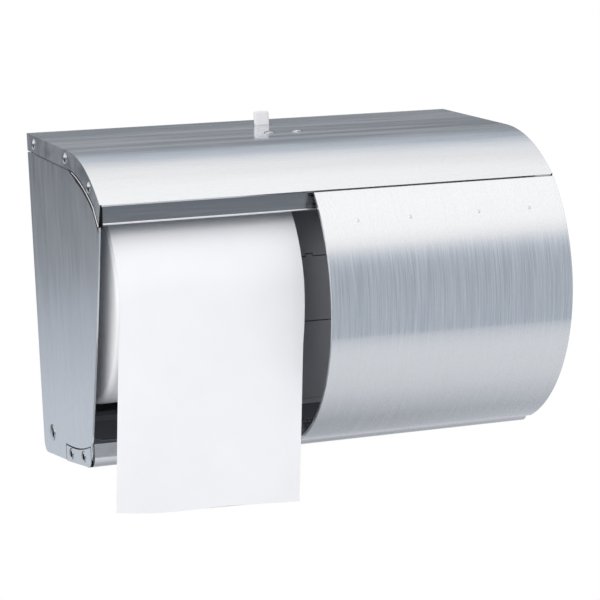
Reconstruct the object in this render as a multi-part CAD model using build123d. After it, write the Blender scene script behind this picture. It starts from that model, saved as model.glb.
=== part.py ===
"""Twin-roll dispenser for coreless toilet paper: a stainless hood hinged over a moulded roll carrier.

Millimetres. X runs along the width, -Y comes out of the wall, +Z is up. The wall is the plane Y = 0.
Heights below are counted from the case's lower edge; every piece is lowered at the end by mount_height,
so that the origin is the centre of the four wall screws on the wall face.
"""
from build123d import *
import math
import os

# Overall case
case_half_width = 128.5
sheet = 1.0
mount_height = 90.0
wall_gap = 1.5

# Hood: a slope that falls to the front, a round shoulder, and a short straight lip
hood_rear_height = 181.0
hood_slope = 5.2
hood_slope_end_y = -87.4
hood_shoulder_radius = 87.6
hood_lip_slope = 41.8
hood_lip_length = 6.6
hood_flange_depth = 9.2
skin_gap = 0.05

# Side panels: flush with the hood's flanges and the pan's tabs, which lie in joggles
joggle_gap = 0.8
joggle_lap = 1.2
panel_notch = 8.0
panel_foot_radius = 6.5
panel_front_low = (-102.1, 17.9)
panel_front_mid = (-118.3, 64.0)
panel_front_high = (-139.0, 135.2)

# Bottom pan and its end tabs
pan_front_y = -103.2
pan_rear_y = -49.0
pan_bend_radius = 8.0
pan_front_top = 18.0
pan_lip_top = 10.5
pan_foot_z = 1.75
pan_floor_slope = 0.0581

# Cover hinge
hinge_y = -21.2
hinge_z = 13.0
hinge_pin_radius = 3.0
running_gap = 0.05

# Sliding door: one round sheet hung between the upper rail and the pan's front flange
door_centre = (-73.5, 91.17)
door_radius = 88.76
door_top_angle = 142.0
door_foot_angle = 249.0
door_left_x = -11.87
door_right_x = 128.5
door_hem_width = 4.0
door_hem_depth = 0.8
bracket_ends = (-7.0, 123.6)
door_centre_x = (door_left_x + door_right_x) / 2

# Upper rail that the door slides on
rail_front_y = -138.5
rail_foot_z = 136.3
rail_top_z = 149.0
rail_hem_height = 2.6
rail_hem_depth = 0.9
rail_half_length = 126.3

# Rolls and the axis that they turn on
roll_radius = 62.5
roll_bore_radius = 8.05
roll_axis = (-74.5, 98.0)
roll_inner_x = 18.9
roll_outer_x = 120.5
pin_radius = 3.0

# Hanging sheet of the left roll
sheet_thickness = 0.5
tail_drop = 113.0
tail_lean = 3.2

# Centre post between the rolls
post_half_width = 16.5
post_face_y = -100.8
post_foot_z = 28.0
post_sweep_radius = 149.0
wall_thickness = 2.5
band_low = 73.2
band_high = 108.2
seam = 0.5

# Back plate, liner and wall screws
plate_thickness = 1.2
liner_rear_y = -1.3
liner_face_y = -4.2
screw_spacing_x = 152.4
screw_spacing_z = 101.6
screw_hole_radius = 2.75
screw_well_radius = 6.5
carrier_screw_radius = 1.6
liner_half_width = 121.0
liner_foot_z = 4.0
plate_top_z = 171.2

# Lock
lock_x = 2.7
lock_rivet_y = -62.5
lock_rivet_shank = 2.0
key_y = -27.0
key_stand = 8.0
key_half_width = 4.5
key_half_depth = 1.6
key_slot_gap = (1.6, 0.5)


def yz_solid(outline, x_low, x_high):
    """Extrude a closed outline drawn in the YZ plane from x_low to x_high."""
    face = Plane.YZ.offset(x_low) * make_face(outline)
    return extrude(face, amount=x_high - x_low)


def xz_solid(outline, y_front, y_rear):
    """Extrude a closed outline drawn in the XZ plane, from its front face back towards the wall."""
    face = Plane.XZ.offset(-y_front) * make_face(outline)
    return extrude(face, amount=-(y_rear - y_front))


def block(x, y, z):
    """A box given by its lowest and highest value on each axis."""
    size = [high - low for low, high in (x, y, z)]
    centre = [(high + low) / 2 for low, high in (x, y, z)]
    return Pos(*centre) * Box(*size)


def rod_x(radius, x_low, x_high, y, z):
    """A round bar along X."""
    return Pos((x_low + x_high) / 2, y, z) * Rot(0, 90, 0) * Cylinder(radius, x_high - x_low)


def rod_y(radius, y_low, y_high, x, z):
    """A round bar along Y."""
    return Pos(x, (y_low + y_high) / 2, z) * Rot(90, 0, 0) * Cylinder(radius, y_high - y_low)


def polar(centre, radius, angle):
    """A point of the YZ plane at an angle from +Y about a centre."""
    turn = math.radians(angle)
    return (centre[0] + radius * math.cos(turn), centre[1] + radius * math.sin(turn))


def arc_band(centre, outer, inner, start, end):
    """The outline of a strip bent round a centre in the YZ plane."""
    middle = (start + end) / 2
    return [
        ThreePointArc(polar(centre, outer, start), polar(centre, outer, middle), polar(centre, outer, end)),
        Line(polar(centre, outer, end), polar(centre, inner, end)),
        ThreePointArc(polar(centre, inner, end), polar(centre, inner, middle), polar(centre, inner, start)),
        Line(polar(centre, inner, start), polar(centre, outer, start)),
    ]


def both_sides(piece):
    """A piece and its mirror image across the centre plane."""
    return [piece, mirror(piece, about=Plane.YZ)]


def dome_rivet(x, y, z, head_radius, head_height):
    """The round head of a rivet that faces +X, with its foot at x."""
    rim = head_height * 0.35
    rise = head_height - rim
    curve = (head_radius ** 2 + rise ** 2) / (2 * rise)
    half_turn = math.asin(head_radius / curve) / 2
    middle = (curve * math.sin(half_turn), head_height - curve * (1 - math.cos(half_turn)))
    profile = make_face([
        Line((0, 0), (head_radius, 0)),
        Line((head_radius, 0), (head_radius, rim)),
        ThreePointArc((head_radius, rim), middle, (0, head_height)),
        Line((0, head_height), (0, 0)),
    ])
    head = revolve(Plane.XZ * profile, axis=Axis.Z)
    return Pos(x, y, z) * Rot(0, 90, 0) * head


# Hood profile, worked out from its slope, shoulder and lip

def hood_top(y):
    """Height of the hood's outer face on its sloped part."""
    return hood_rear_height + y * math.tan(math.radians(hood_slope))


def shoulder_centre():
    turn = math.radians(hood_slope)
    start_z = hood_top(hood_slope_end_y)
    return (hood_slope_end_y + hood_shoulder_radius * math.sin(turn),
            start_z - hood_shoulder_radius * math.cos(turn))


def hood_profile(depth):
    """Rear, shoulder start, shoulder middle, shoulder end and lip end of the hood, sunk by a depth."""
    centre = shoulder_centre()
    radius = hood_shoulder_radius - depth
    rear = (-wall_gap, hood_top(-wall_gap) - depth / math.cos(math.radians(hood_slope)))
    start = polar(centre, radius, 90 + hood_slope)
    middle = polar(centre, radius, 90 + (hood_slope + hood_lip_slope) / 2)
    end = polar(centre, radius, 90 + hood_lip_slope)
    turn = math.radians(hood_lip_slope)
    lip = (end[0] - hood_lip_length * math.cos(turn), end[1] - hood_lip_length * math.sin(turn))
    return rear, start, middle, end, lip


def hood_outline(outer_depth, inner_depth):
    rear, start, middle, end, lip = hood_profile(outer_depth)
    rear_in, start_in, middle_in, end_in, lip_in = hood_profile(inner_depth)
    return [
        Line(rear, start),
        ThreePointArc(start, middle, end),
        Line(end, lip),
        Line(lip, lip_in),
        Line(lip_in, end_in),
        ThreePointArc(end_in, middle_in, start_in),
        Line(start_in, rear_in),
        Line(rear_in, rear),
    ]


# Cover

hood_rivet_places = [(-15.3, 175.0), (-80.0, 169.1), (-123.0, 155.3)]
hood_rivet_radius = 3.1


def hood_rivet_holes():
    """Holes of the hood's rivets through one side of the cover."""
    return [rod_x(hood_rivet_radius * rivet_shank_ratio, 120, 130, y, z) for y, z in hood_rivet_places]


def flange_foot(grow):
    """Lower edge of a hood flange from its tip to the rear, let down by a margin, and its rear end."""
    rear, start, middle, end, lip = hood_profile(sheet / 2)
    low_rear = (-wall_gap, rear[1] - hood_flange_depth - grow)
    low_start = (start[0] + 3.4, start[1] - hood_flange_depth - grow)
    low_bend = polar((-110.0, 155.8), grow, 295)
    low_end = polar((-130.2, 144.9), grow, 312)
    tip = polar((-137.7, 135.5), grow, 320)
    edge = [
        Line(tip, low_end),
        ThreePointArc(low_end, low_bend, low_start),
        Line(low_start, low_rear),
    ]
    return tip, edge, low_rear


def flange_outline():
    rear, start, middle, end, lip = hood_profile(sheet / 2)
    tip, lower_edge, low_rear = flange_foot(0)
    return [
        Line(rear, start),
        ThreePointArc(start, middle, end),
        Line(end, lip),
        Line(lip, tip),
        *lower_edge,
        Line(low_rear, rear),
    ]


def hood():
    """Top sheet with a narrow flange down each side, pierced by the key slot."""
    top = yz_solid(hood_outline(0, sheet), -case_half_width, case_half_width)
    flange = yz_solid(flange_outline(), case_half_width - sheet, case_half_width)
    for hole in hood_rivet_holes():
        flange -= hole
    half_width = key_half_width + key_slot_gap[0]
    half_depth = key_half_depth + key_slot_gap[1]
    slot = block((lock_x - half_width, lock_x + half_width), (key_y - half_depth, key_y + half_depth), (170, 190))
    holes = [under_hood(lock_rivet_y, 0) * Pos(x - lock_x, 0, 0) * Cylinder(lock_rivet_shank + 0.1, 20)
             for x in lock_rivet_xs()]
    body = top + both_sides(flange)
    return body - slot - holes


def panel_outline():
    """Flush face of a side panel, with its rounded foot and hollow front edge, up to the flange's joggle."""
    foot = panel_foot_radius
    tip, upper_edge, high_rear = flange_foot(joggle_gap)
    quarter = foot * (1 - math.sqrt(0.5))
    return [
        Line(high_rear, (-wall_gap, foot)),
        ThreePointArc((-wall_gap, foot), (-wall_gap - quarter, quarter), (-wall_gap - foot, 0)),
        Line((-wall_gap - foot, 0), (-47.4, 1.6)),
        Line((-47.4, 1.6), (-90.0, 4.0)),
        ThreePointArc((-90.0, 4.0), (-98.6, 7.4), panel_front_low),
        ThreePointArc(panel_front_low, panel_front_mid, panel_front_high),
        Line(panel_front_high, tip),
        *upper_edge,
    ]


def panel_head_outline():
    """Upper part of a side panel, stepped inwards behind the hood's flange."""
    rear, start, middle, end, lip = hood_profile(sheet + skin_gap)
    tip, lower_edge, low_rear = flange_foot(joggle_gap + joggle_lap)
    nose = (-140.6, 145.2)
    return [
        Line(rear, start),
        ThreePointArc(start, middle, end),
        Line(end, nose),
        Line(nose, panel_front_high),
        Line(panel_front_high, tip),
        *lower_edge,
        Line(low_rear, rear),
    ]


def tab_outline(grow):
    """Outline of a pan end tab, grown by a margin for the joggle around it."""
    rear = -49.5 + grow
    front = -99.0 - grow
    rise = 10.3 + grow
    return [
        Line((rear, 1.2 - grow), (rear, rise - 1.0)),
        Line((rear, rise - 1.0), (rear - 1.0, rise)),
        ThreePointArc((rear - 1.0, rise), (-77.3, 11.4 + grow), (front, 15.8 + grow)),
        Line((front, 15.8 + grow), (front, 7.6 - grow)),
        ThreePointArc((front, 7.6 - grow), (-96.4, 5.2 - grow), (-90.0, 4.0 - grow)),
        Line((-90.0, 4.0 - grow), (rear, 1.2 - grow)),
    ]


def side_panel():
    """Right side panel, joggled inwards under the hood's flange and the pan's tab, flush with both."""
    inner_x = case_half_width - sheet
    lap = joggle_gap + joggle_lap
    panel = yz_solid(panel_outline(), inner_x, case_half_width)
    panel -= yz_solid(tab_outline(joggle_gap), inner_x - 1, case_half_width + 1)
    foot = yz_solid(tab_outline(lap), inner_x - sheet + skin_gap, inner_x)
    foot -= yz_solid(pan_floor_outline(sheet + skin_gap), inner_x - 2 * sheet, inner_x + 1)
    foot -= block((inner_x - 2 * sheet, inner_x + 1), (pan_front_y - 5, pan_front_y + pan_bend_radius), (0, 30))
    head = yz_solid(panel_head_outline(), inner_x - sheet, inner_x)
    head -= block((inner_x - 2 * sheet, inner_x + 1), (-wall_gap - panel_notch, 0), (150.0, hood_rear_height))
    pin_hole = rod_x(hinge_pin_radius, inner_x - 2, case_half_width + 1, hinge_y, hinge_z)
    side = panel + foot + head - pin_hole
    for hole in pan_rivet_holes() + hood_rivet_holes():
        side -= hole
    return side


def pan_foot_line(y):
    """Height of the pan floor's outer face."""
    return pan_foot_z + (pan_rear_y - y) * pan_floor_slope


def pan_floor_outline(depth):
    """Everything lower than the pan's floor at a depth over its outer face."""
    low = -3.0
    front = -110.0
    return [
        Line((pan_rear_y + 3, low), (pan_rear_y + 3, pan_foot_line(pan_rear_y + 3) + depth)),
        Line((pan_rear_y + 3, pan_foot_line(pan_rear_y + 3) + depth), (front, pan_foot_line(front) + depth)),
        Line((front, pan_foot_line(front) + depth), (front, low)),
        Line((front, low), (pan_rear_y + 3, low)),
    ]


pan_rivet_places = [(-59.6, 6.5), (-84.5, 8.6)]
rivet_shank_ratio = 0.5
pan_rivet_radius = 3.15


def pan_rivet_holes():
    """Holes of the pan's rivets through one side of the cover."""
    return [rod_x(pan_rivet_radius * rivet_shank_ratio, 120, 130, y, z) for y, z in pan_rivet_places]


def bottom_pan():
    """Tray under the rolls: front flange that guides the door, floor, rear lip and two riveted end tabs."""
    floor_rear = (pan_rear_y, pan_foot_line(pan_rear_y))
    turn = math.atan(pan_floor_slope)
    centre = (pan_front_y + pan_bend_radius, 4.45 + pan_bend_radius)
    foot_angle = 270 - math.degrees(turn)
    outline = [
        Line(floor_rear, polar(centre, pan_bend_radius, foot_angle)),
        ThreePointArc(polar(centre, pan_bend_radius, foot_angle), polar(centre, pan_bend_radius, 225),
                      polar(centre, pan_bend_radius, 180)),
        Line(polar(centre, pan_bend_radius, 180), (pan_front_y, pan_front_top)),
        Line((pan_front_y, pan_front_top), (pan_front_y + sheet, pan_front_top)),
        Line((pan_front_y + sheet, pan_front_top), polar(centre, pan_bend_radius - sheet, 180)),
        ThreePointArc(polar(centre, pan_bend_radius - sheet, 180), polar(centre, pan_bend_radius - sheet, 225),
                      polar(centre, pan_bend_radius - sheet, foot_angle)),
        Line(polar(centre, pan_bend_radius - sheet, foot_angle), (pan_rear_y, floor_rear[1] + sheet)),
        Line((pan_rear_y, floor_rear[1] + sheet), floor_rear),
    ]
    tray = yz_solid(outline, -case_half_width + sheet, case_half_width - sheet)
    half = case_half_width - 2 * sheet - 0.1
    shoulder = 15.0
    lip_outline = [
        Line((-half, 1.8), (half, 1.8)),
        Line((half, 1.8), (half, shoulder)),
        Line((half, shoulder), (116.0, shoulder)),
        ThreePointArc((116.0, shoulder), (111.5, 11.8), (106.0, pan_lip_top)),
        Line((106.0, pan_lip_top), (-106.0, pan_lip_top)),
        ThreePointArc((-106.0, pan_lip_top), (-111.5, 11.8), (-116.0, shoulder)),
        Line((-116.0, shoulder), (-half, shoulder)),
        Line((-half, shoulder), (-half, 1.8)),
    ]
    rear_lip = xz_solid(lip_outline, pan_rear_y - sheet, pan_rear_y)
    tab = yz_solid(tab_outline(0), case_half_width - sheet, case_half_width)
    for hole in pan_rivet_holes():
        tab -= hole
    return tray + rear_lip + both_sides(tab)


def door_rail():
    """Upper rail: a web behind the hood's lip with a folded hem, spot-welded under the shoulder."""
    centre = shoulder_centre()
    radius = hood_shoulder_radius - sheet
    weld = arc_band(centre, radius, radius - sheet, 90 + 30.0, 90 + hood_lip_slope)
    flange = yz_solid(weld, -rail_half_length, rail_half_length)
    run = polar(centre, radius, 90 + hood_lip_slope)
    run_in = polar(centre, radius - sheet, 90 + hood_lip_slope)
    bridge = yz_solid([
        Line(run, (rail_front_y, rail_top_z)),
        Line((rail_front_y, rail_top_z), (rail_front_y, rail_foot_z)),
        Line((rail_front_y, rail_foot_z), (rail_front_y + sheet, rail_foot_z)),
        Line((rail_front_y + sheet, rail_foot_z), (rail_front_y + sheet, rail_top_z - 0.6)),
        Line((rail_front_y + sheet, rail_top_z - 0.6), run_in),
        Line(run_in, run),
    ], -rail_half_length, rail_half_length)
    hem_front = rail_front_y + sheet
    hem = block((-rail_half_length, rail_half_length), (hem_front, hem_front + rail_hem_depth),
                (rail_foot_z, rail_foot_z + rail_hem_height))
    return flange + bridge + hem


def side_rivets(places, x, head_radius, head_height, shank):
    """Rivets through both sides of the cover: a low dome outside and a shank through the sheets."""
    pieces = []
    for y, z in places:
        head = dome_rivet(x, y, z, head_radius, head_height)
        body = rod_x(head_radius * rivet_shank_ratio, x - shank, x, y, z)
        pieces += both_sides(head + body)
    return Compound(children=pieces)


def hinge_pins():
    """Pivot rivets with a wide low head outside, which turn in the ears of the back plate."""
    head = dome_rivet(case_half_width, hinge_y, hinge_z, 4.6, 1.2)
    shank = rod_x(hinge_pin_radius, 123.3, case_half_width, hinge_y, hinge_z)
    return Compound(children=both_sides(head + shank))


def hinge_clips():
    """Retaining clips on the inner ends of the pivot rivets."""
    ring = rod_x(5.6, 123.7, 124.7, hinge_y, hinge_z)
    ring -= rod_x(hinge_pin_radius, 123, 126, hinge_y, hinge_z)
    ring -= block((123, 126), (hinge_y - 1.6, hinge_y + 1.6), (hinge_z + 2, hinge_z + 8))
    return Compound(children=both_sides(ring))


# Lock under the hood: a catch lever that the key pushes down out of the back plate's flange

def lock_rivet_xs():
    return [lock_x - 8.2, lock_x + 8.2]


def under_hood(y, drop):
    """A frame that lies against the hood's inner face at y and leans with its slope."""
    height = hood_top(y) - sheet / math.cos(math.radians(hood_slope)) - drop
    return Pos(lock_x, y, height) * Rot(hood_slope, 0, 0)


latch_pin_rear = 8.0
latch_pin_drop = 6.0


def latch_axis():
    """Centre of the catch's pin in the YZ plane."""
    turn = math.radians(hood_slope)
    base = hood_top(lock_rivet_y) - sheet / math.cos(turn)
    y = lock_rivet_y + latch_pin_rear * math.cos(turn) + latch_pin_drop * math.sin(turn)
    z = base + latch_pin_rear * math.sin(turn) - latch_pin_drop * math.cos(turn)
    return y, z


def latch_bracket():
    """Folded bracket with two ears, held to the hood by the two rivets seen on top."""
    base = block((-13, 13), (-5, 14), (-1.2, 0))
    outline = [
        Line((3.6, -1.2), (13.5, -1.2)),
        Line((13.5, -1.2), (12.0, -8.5)),
        ThreePointArc((12.0, -8.5), (8.0, -10.2), (4.6, -8.5)),
        Line((4.6, -8.5), (3.6, -1.2)),
    ]
    ear = yz_solid(outline, 7.0, 8.2)
    bracket = base + both_sides(ear)
    bracket -= rod_x(1.5, -12, 12, latch_pin_rear, -latch_pin_drop)
    bracket -= [Pos(x - lock_x, 0, 0) * Cylinder(lock_rivet_shank + 0.1, 8) for x in lock_rivet_xs()]
    return under_hood(lock_rivet_y, 0) * bracket


def lock_rivets():
    """Two rivets that hold the lock's bracket, with low round heads on top of the hood."""
    pieces = []
    for x in lock_rivet_xs():
        head = Rot(0, -90, 0) * dome_rivet(0, 0, 0, 3.1, 1.1)
        head = Pos(0, 0, sheet) * head
        shank = Pos(0, 0, -0.5) * Cylinder(lock_rivet_shank, 3.4)
        foot = Pos(0, 0, -1.6) * Cylinder(2.9, 0.8)
        pieces.append(under_hood(lock_rivet_y, 0) * Pos(x - lock_x, 0, 0) * (head + shank + foot))
    return Compound(children=pieces)


def latch_pin():
    y, z = latch_axis()
    pin = rod_x(1.5, lock_x - 9.6, lock_x + 9.6, y, z)
    caps = [rod_x(2.3, lock_x + side * 9.2 - 0.5, lock_x + side * 9.2 + 0.5, y, z) for side in (-1, 1)]
    return pin + caps


def latch_lever():
    """Catch lever: a hub on the pin, an arm to the rear under the key, and a tooth for the flange."""
    y, z = latch_axis()
    hub = rod_x(3.2, lock_x - 6.5, lock_x + 6.5, y, z)
    arm_top = 166.2
    arm = block((lock_x - 5.5, lock_x + 5.5), (-57.0, -6.2), (arm_top - 1.6, arm_top))
    neck = block((lock_x - 5.5, lock_x + 5.5), (y - 3.0, y + 3.0), (arm_top - 1.6, z))
    tooth_outline = [
        Line((-11.2, arm_top - 0.4), (-11.2, 169.0)),
        Line((-11.2, 169.0), (-9.2, 169.0)),
        Line((-9.2, 169.0), (-6.6, arm_top - 0.4)),
        Line((-6.6, arm_top - 0.4), (-11.2, arm_top - 0.4)),
    ]
    tooth = yz_solid(tooth_outline, lock_x - 4.0, lock_x + 4.0)
    ribs = [block((lock_x + side * 4.9 - 0.6, lock_x + side * 4.9 + 0.6), (-50.0, -14.0),
                  (arm_top - 3.2, arm_top - 1.6)) for side in (-1, 1)]
    lever = hub + arm + neck + tooth + ribs
    return lever - rod_x(1.5 + running_gap, lock_x - 8, lock_x + 8, y, z)


def latch_spring():
    """Coil spring round the catch's pin, with one leg up to the bracket."""
    y, z = latch_axis()
    pieces = []
    for side in (-1, 1):
        x_low = lock_x + side * 6.8 - 0.15
        coil = rod_x(2.9, x_low, x_low + 0.3, y, z) - rod_x(1.8, x_low - 1, x_low + 1, y, z)
        pieces.append(coil)
    return Compound(children=pieces)


def release_key():
    """White key blade that stands in the hood's slot with its foot on the catch lever."""
    foot_z = 166.25
    top_z = hood_top(key_y) + key_stand
    blade = block((lock_x - key_half_width, lock_x + key_half_width),
                  (key_y - key_half_depth, key_y + key_half_depth), (foot_z, top_z))
    return chamfer(blade.edges().group_by(Axis.Z)[0], 0.8)


# Door

def door_panel():
    """Round sheet with a folded hem along each upright edge."""
    skin = yz_solid(arc_band(door_centre, door_radius, door_radius - sheet, door_top_angle, door_foot_angle),
                    door_left_x, door_right_x)
    hem_band = arc_band(door_centre, door_radius - sheet, door_radius - sheet - door_hem_depth,
                        door_top_angle + 1, door_foot_angle - 1)
    left_hem = yz_solid(hem_band, door_left_x, door_left_x + door_hem_width)
    right_hem = yz_solid(hem_band, door_right_x - door_hem_width, door_right_x)
    return skin + left_hem + right_hem


def door_top_bracket():
    """J-shaped strip: welded inside the door, under the rail and up behind its web."""
    inner = door_radius - sheet
    web_z = 134.3
    lip_y = -135.2
    weld = yz_solid(arc_band(door_centre, inner, inner - sheet, 150.0, 157.0), *bracket_ends)
    web = block(bracket_ends, (-149.2, lip_y), (web_z, web_z + sheet))
    lip = block(bracket_ends, (lip_y - sheet, lip_y), (web_z, 143.0))
    return weld + web + lip


clip_half_width = 11.0
clip_offset = 50.0
clip_web_z = 19.6


def door_lower_clips():
    """Two hooks welded inside the door's foot, over the pan's front flange and down behind it."""
    inner = door_radius - sheet
    pieces = []
    for offset in (-clip_offset, clip_offset):
        x_low = door_centre_x + offset - clip_half_width
        x_high = door_centre_x + offset + clip_half_width
        weld = yz_solid(arc_band(door_centre, inner, inner - sheet, 230.5, 237.5), x_low, x_high)
        web = block((x_low, x_high), (-122.6, -99.2), (clip_web_z, clip_web_z + sheet))
        lip = block((x_low, x_high), (-100.2, -99.2), (12.0, clip_web_z + sheet))
        pieces.append(weld + web + lip)
    return Compound(children=pieces)


def door_glides():
    """Nylon saddles in the hooks, which ride on the top edge of the pan's front flange."""
    pieces = []
    for offset in (-clip_offset, clip_offset):
        x_low = door_centre_x + offset - 8.0
        x_high = door_centre_x + offset + 8.0
        saddle = block((x_low, x_high), (-105.3, -100.2), (13.0, clip_web_z))
        slot = block((x_low - 1, x_high + 1), (-103.4, -102.0), (12.0, pan_front_top + 0.2))
        pieces.append(saddle - slot)
    return Compound(children=pieces)


# Back plate and roll carrier

def wall_screw_places():
    return [(side_x * screw_spacing_x / 2, mount_height + side_z * screw_spacing_z / 2)
            for side_x in (-1, 1) for side_z in (-1, 1)]


def back_plate():
    """Wall plate with a top flange for the catch and a hinge ear at each lower corner."""
    top = plate_top_z
    half = 126.3
    ear_radius = 10.0
    foot = hinge_z - ear_radius
    plate = block((-half, half), (-plate_thickness, 0), (foot, top))
    flange = block((-118, 118), (-16, 0), (top - plate_thickness, top))
    ear_outline = [
        Line((0, foot), (hinge_y, foot)),
        ThreePointArc((hinge_y, foot), (hinge_y - ear_radius, hinge_z), (hinge_y, hinge_z + ear_radius)),
        Line((hinge_y, hinge_z + ear_radius), (0, 34.0)),
        Line((0, 34.0), (0, foot)),
    ]
    ear = yz_solid(ear_outline, half - sheet, half)
    ear -= rod_x(hinge_pin_radius + running_gap, 124, 128, hinge_y, hinge_z)
    plate = plate + flange + both_sides(ear)
    for x, z in wall_screw_places():
        plate -= rod_y(screw_hole_radius, -3, 3, x, z)
    window = block((lock_x - 7, lock_x + 7), (-13.5, -5.5), (top - 3, top + 3))
    return plate - window


def rear_liner():
    """Moulded panel over the wall plate, ribbed on its face, with a scoop over its foot."""
    scoop_y = -20.0
    outline = [
        Line((liner_rear_y, liner_foot_z), (liner_rear_y, 164.0)),
        Line((liner_rear_y, 164.0), (liner_face_y, 164.0)),
        Line((liner_face_y, 164.0), (liner_face_y, 40.0)),
        ThreePointArc((liner_face_y, 40.0), (-9.6, 28.4), (scoop_y, 22.0)),
        Line((scoop_y, 22.0), (scoop_y, 19.4)),
        ThreePointArc((scoop_y, 19.4), (-10.0, 18.6), (liner_face_y, 14.0)),
        Line((liner_face_y, 14.0), (liner_face_y, liner_foot_z)),
        Line((liner_face_y, liner_foot_z), (liner_rear_y, liner_foot_z)),
    ]
    liner = yz_solid(outline, -liner_half_width, liner_half_width)
    for x, z in wall_screw_places():
        liner -= rod_y(screw_well_radius, -12, 0, x, z)
    rim = [rod_y(screw_well_radius + 2.1, liner_face_y - 1.2, liner_face_y, x, z)
           - rod_y(screw_well_radius, -12, 0, x, z) for x, z in wall_screw_places()]
    ribs = [block((x - 0.9, x + 0.9), (-5.6, liner_face_y), (44, 160)) for x in (-52, -36, 36, 52)]
    liner = liner + rim + ribs
    liner -= block((-post_half_width - 0.5, post_half_width + 0.5), (-25, liner_face_y), (15, 42))
    for x, z in post_screw_places + arm_screw_places:
        liner -= rod_y(carrier_screw_radius, -9, 0, x, z)
    return liner


def post_shell_outline(inset):
    """Side outline of the centre post: flat face, foot, and a top edge that clears the turning hood."""
    face = post_face_y + inset
    radius = post_sweep_radius - inset
    hinge = (hinge_y, hinge_z)
    rise = math.degrees(math.acos((face - hinge_y) / radius))
    rear = math.degrees(math.acos((liner_face_y - hinge_y) / radius))
    return [
        Line((liner_face_y, post_foot_z + inset), (face, post_foot_z + inset)),
        Line((face, post_foot_z + inset), polar(hinge, radius, rise)),
        ThreePointArc(polar(hinge, radius, rise), polar(hinge, radius, (rise + rear) / 2),
                      polar(hinge, radius, rear)),
        Line(polar(hinge, radius, rear), (liner_face_y, post_foot_z + inset)),
    ]


post_screw_places = [(side * 21.5, z) for side in (-1, 1) for z in (56.0, 132.0)]


def centre_post():
    """Hollow moulded post between the rolls, open at the rear, with a gap for its snap-in band."""
    half = post_half_width
    shell = yz_solid(post_shell_outline(0), -half, half)
    hollow = yz_solid(post_shell_outline(wall_thickness), -half + wall_thickness, half - wall_thickness)
    hollow += block((-half + wall_thickness, half - wall_thickness), (-12, 0), (post_foot_z + wall_thickness, 150))
    window = block((-half - 1, half + 1), (post_face_y - 1, post_face_y + wall_thickness),
                   (band_low - seam, band_high + seam))
    notch = block((-2.2, 2.2), (post_face_y - 1, post_face_y + wall_thickness), (band_high, band_high + 2.0))
    ledge = block((-half, half), (post_face_y - 1.8, post_face_y), (post_foot_z, post_foot_z + 2.4))
    foot_reach = 10.0
    feet = [block((half, half + foot_reach) if x > 0 else (-half - foot_reach, -half),
                  (liner_face_y - wall_thickness, liner_face_y), (z - 9, z + 9)) for x, z in post_screw_places]
    post = shell - hollow - window - notch + ledge + feet
    bosses = [rod_x(8.0, side * 15.2 - 1.2, side * 15.2 + 1.2, *roll_axis) for side in (-1, 1)]
    post = post + bosses - rod_x(pin_radius, -20, 20, *roll_axis)
    for x, z in post_screw_places:
        post -= rod_y(carrier_screw_radius, -9, 0, x, z)
    return post


def post_band():
    """Snap-in band across the post's face, with a small tab at its top and two hooked legs inside."""
    half = post_half_width
    rear = post_face_y + wall_thickness - 0.2
    leg_rear = post_face_y + 9.5
    leg_heights = (band_low + 9, band_high - 9)
    face = block((-half, half), (post_face_y, rear), (band_low, band_high))
    tab = block((-1.8, 1.8), (post_face_y, rear), (band_high, band_high + 1.5))
    legs = [block((side * 12.6 - 1.0, side * 12.6 + 1.0), (post_face_y + 2.0, leg_rear), leg_heights)
            for side in (-1, 1)]
    hooks = [block((side * 13.7 - 0.2, side * 13.7 + 0.2), (leg_rear - 2.0, leg_rear), leg_heights)
             for side in (-1, 1)]
    return face + tab + legs + hooks


arm_inner_x = 121.9
arm_outer_x = 125.1
arm_screw_places = [(side * 116.5, z) for side in (-1, 1) for z in (80.0, 124.0)]


def outer_arm():
    """Right moulded arm: a tapered blade with a window, a boss for the pin and a foot on the liner."""
    y, z = roll_axis
    foot_y = liner_face_y
    outline = [
        Line((foot_y, 62), (foot_y, 142)),
        Line((foot_y, 142), (y + 6, z + 11.5)),
        ThreePointArc((y + 6, z + 11.5), (y - 13, z), (y + 6, z - 11.5)),
        Line((y + 6, z - 11.5), (foot_y, 62)),
    ]
    blade = yz_solid(outline, arm_inner_x, arm_outer_x)
    window_outline = [
        Line((-16, 80), (-16, 122)),
        Line((-16, 122), (-50, 105)),
        ThreePointArc((-50, 105), (-55, 98), (-50, 91)),
        Line((-50, 91), (-16, 80)),
    ]
    blade -= yz_solid(window_outline, arm_inner_x - 1, arm_outer_x + 1)
    foot = block((110.5, arm_outer_x), (foot_y - 2.5, foot_y), (68, 136))
    arm = blade + foot - rod_x(pin_radius, 120, 127, y, z)
    for side, screw_z in arm_screw_places:
        if side > 0:
            arm -= rod_y(carrier_screw_radius, -9, 0, side, screw_z)
    return arm


def pan_screws(places, under_head_y):
    """Cross-recess pan-head screws that hold a moulding to the liner and wall plate."""
    head_height = 1.7
    cross_reach = 1.7
    cross_half_width = 0.35
    cross_depths = (under_head_y - head_height - 0.5, under_head_y - 1.0)
    pieces = []
    for x, z in places:
        head = rod_y(2 * carrier_screw_radius, under_head_y - head_height, under_head_y, x, z)
        recess = block((x - cross_reach, x + cross_reach), cross_depths,
                       (z - cross_half_width, z + cross_half_width))
        recess += block((x - cross_half_width, x + cross_half_width), cross_depths,
                        (z - cross_reach, z + cross_reach))
        shank = rod_y(carrier_screw_radius, under_head_y, liner_rear_y, x, z)
        pieces.append(head - recess + shank)
    return Compound(children=pieces)


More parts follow.
